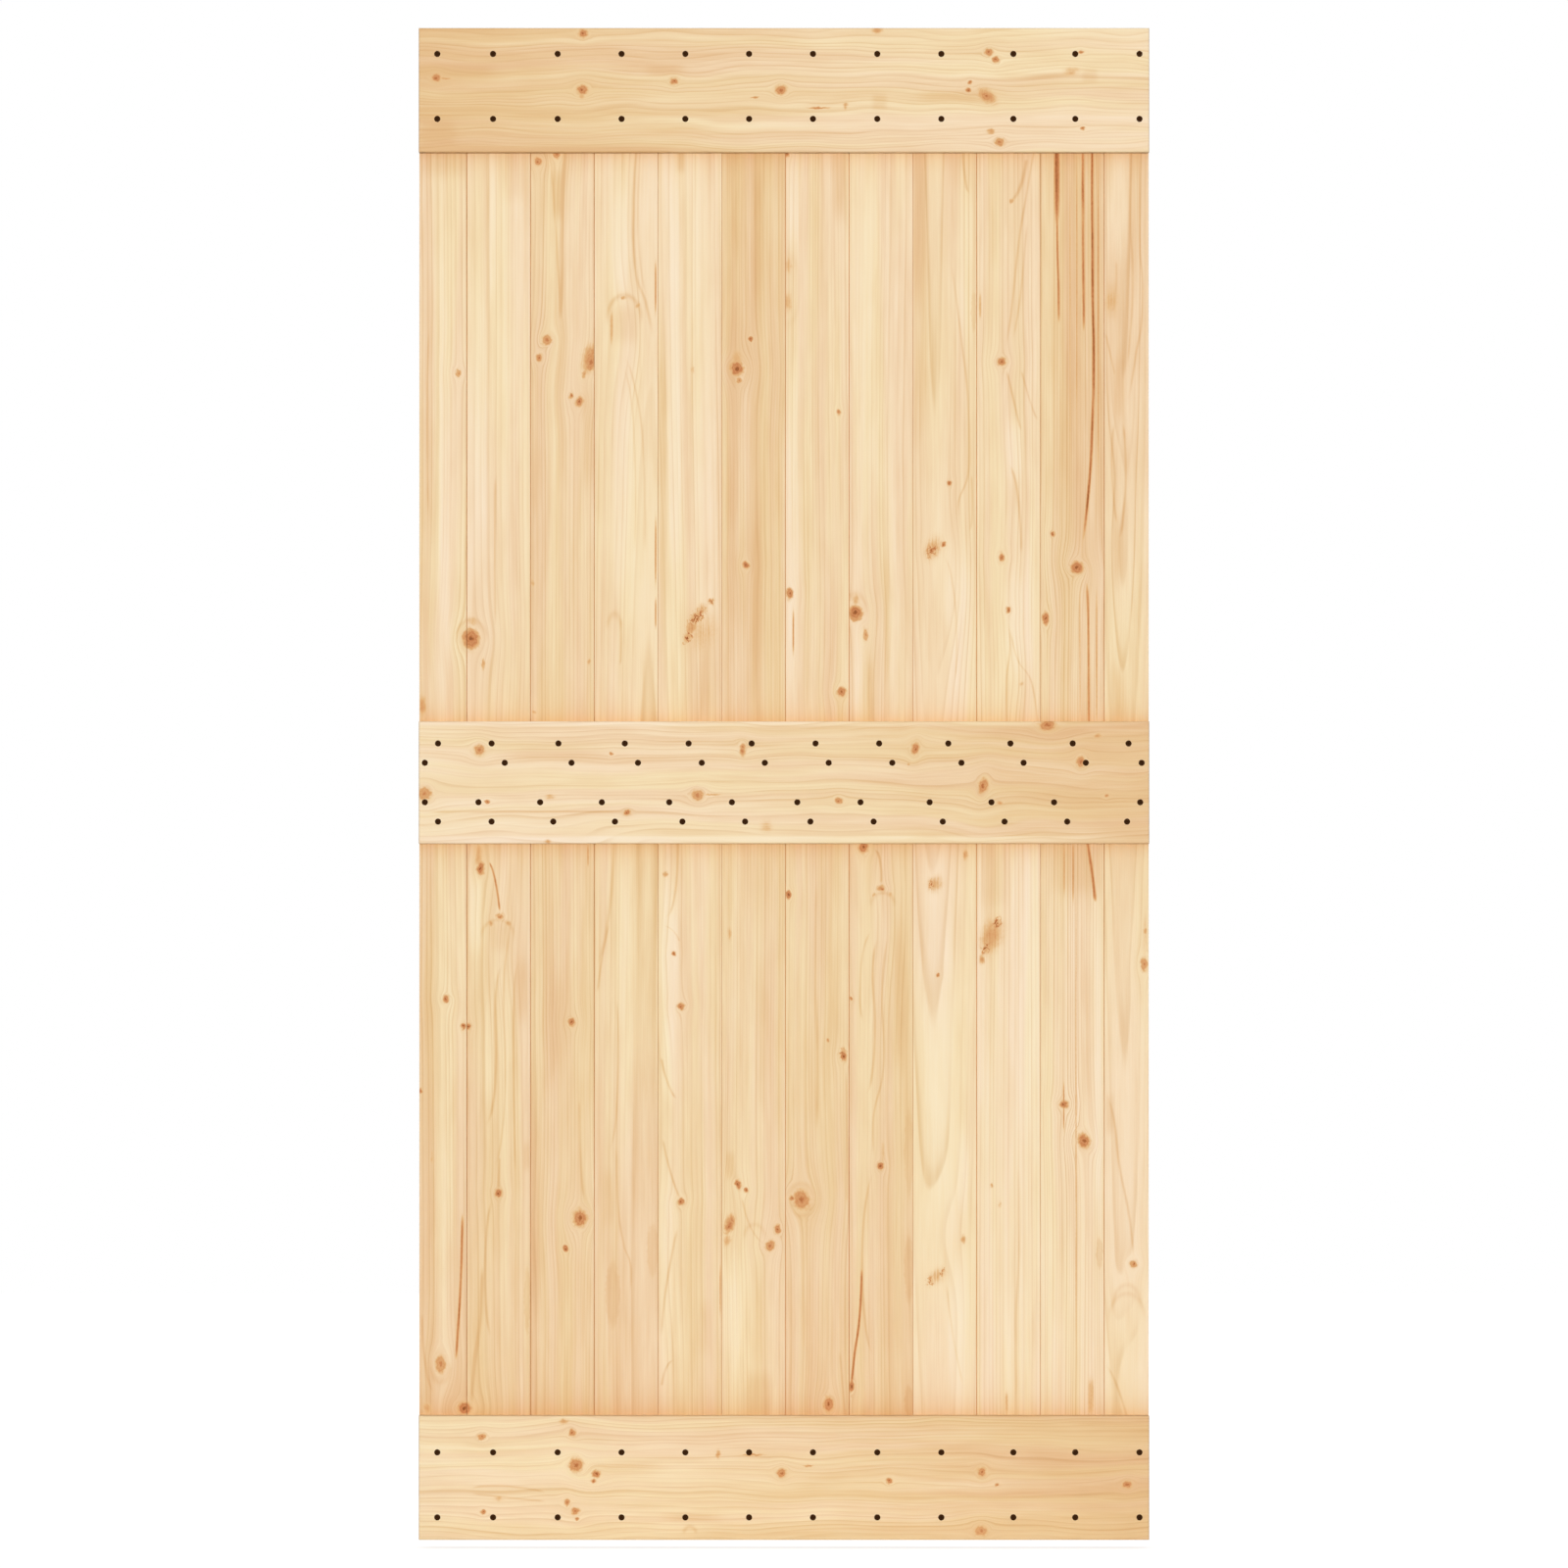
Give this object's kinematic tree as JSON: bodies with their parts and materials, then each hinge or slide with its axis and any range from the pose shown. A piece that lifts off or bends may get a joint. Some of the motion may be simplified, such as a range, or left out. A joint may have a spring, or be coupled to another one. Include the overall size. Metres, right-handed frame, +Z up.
{
  "type": "sliding barn door leaf",
  "caption": "Solid pine sliding barn door leaf of upright tongue-and-groove boards, screwed to a top, a middle and a bottom rail on its front face.",
  "frame": {"origin": "centre of the top rail's front face, where the strap hangers bolt on", "axes": "+Z up, +X along the width to the right as seen from the front, +Y from the front (rail side) to the back"},
  "size_m": [1, 0.038, 2.07],
  "materials": {
    "pine_boards": "planed, unfinished",
    "pine_rails": "planed, unfinished",
    "screws": "dark brown coated steel, satin"
  },
  "bodies": {
    "root": {"board_01": "pine_boards", "board_02": "pine_boards", "board_03": "pine_boards", "board_04": "pine_boards", "board_05": "pine_boards", "board_06": "pine_boards", "board_07": "pine_boards", "board_08": "pine_boards", "board_09": "pine_boards", "board_10": "pine_boards", "board_11": "pine_boards", "board_12": "pine_boards", "top_rail": "pine_rails", "middle_rail": "pine_rails", "bottom_rail": "pine_rails", "top_rail_upper_screws": "screws", "top_rail_lower_screws": "screws", "middle_rail_screws_row_1": "screws", "middle_rail_screws_row_2": "screws", "middle_rail_screws_row_3": "screws", "middle_rail_screws_row_4": "screws", "bottom_rail_upper_screws": "screws", "bottom_rail_lower_screws": "screws"}
  },
  "joints": []
}
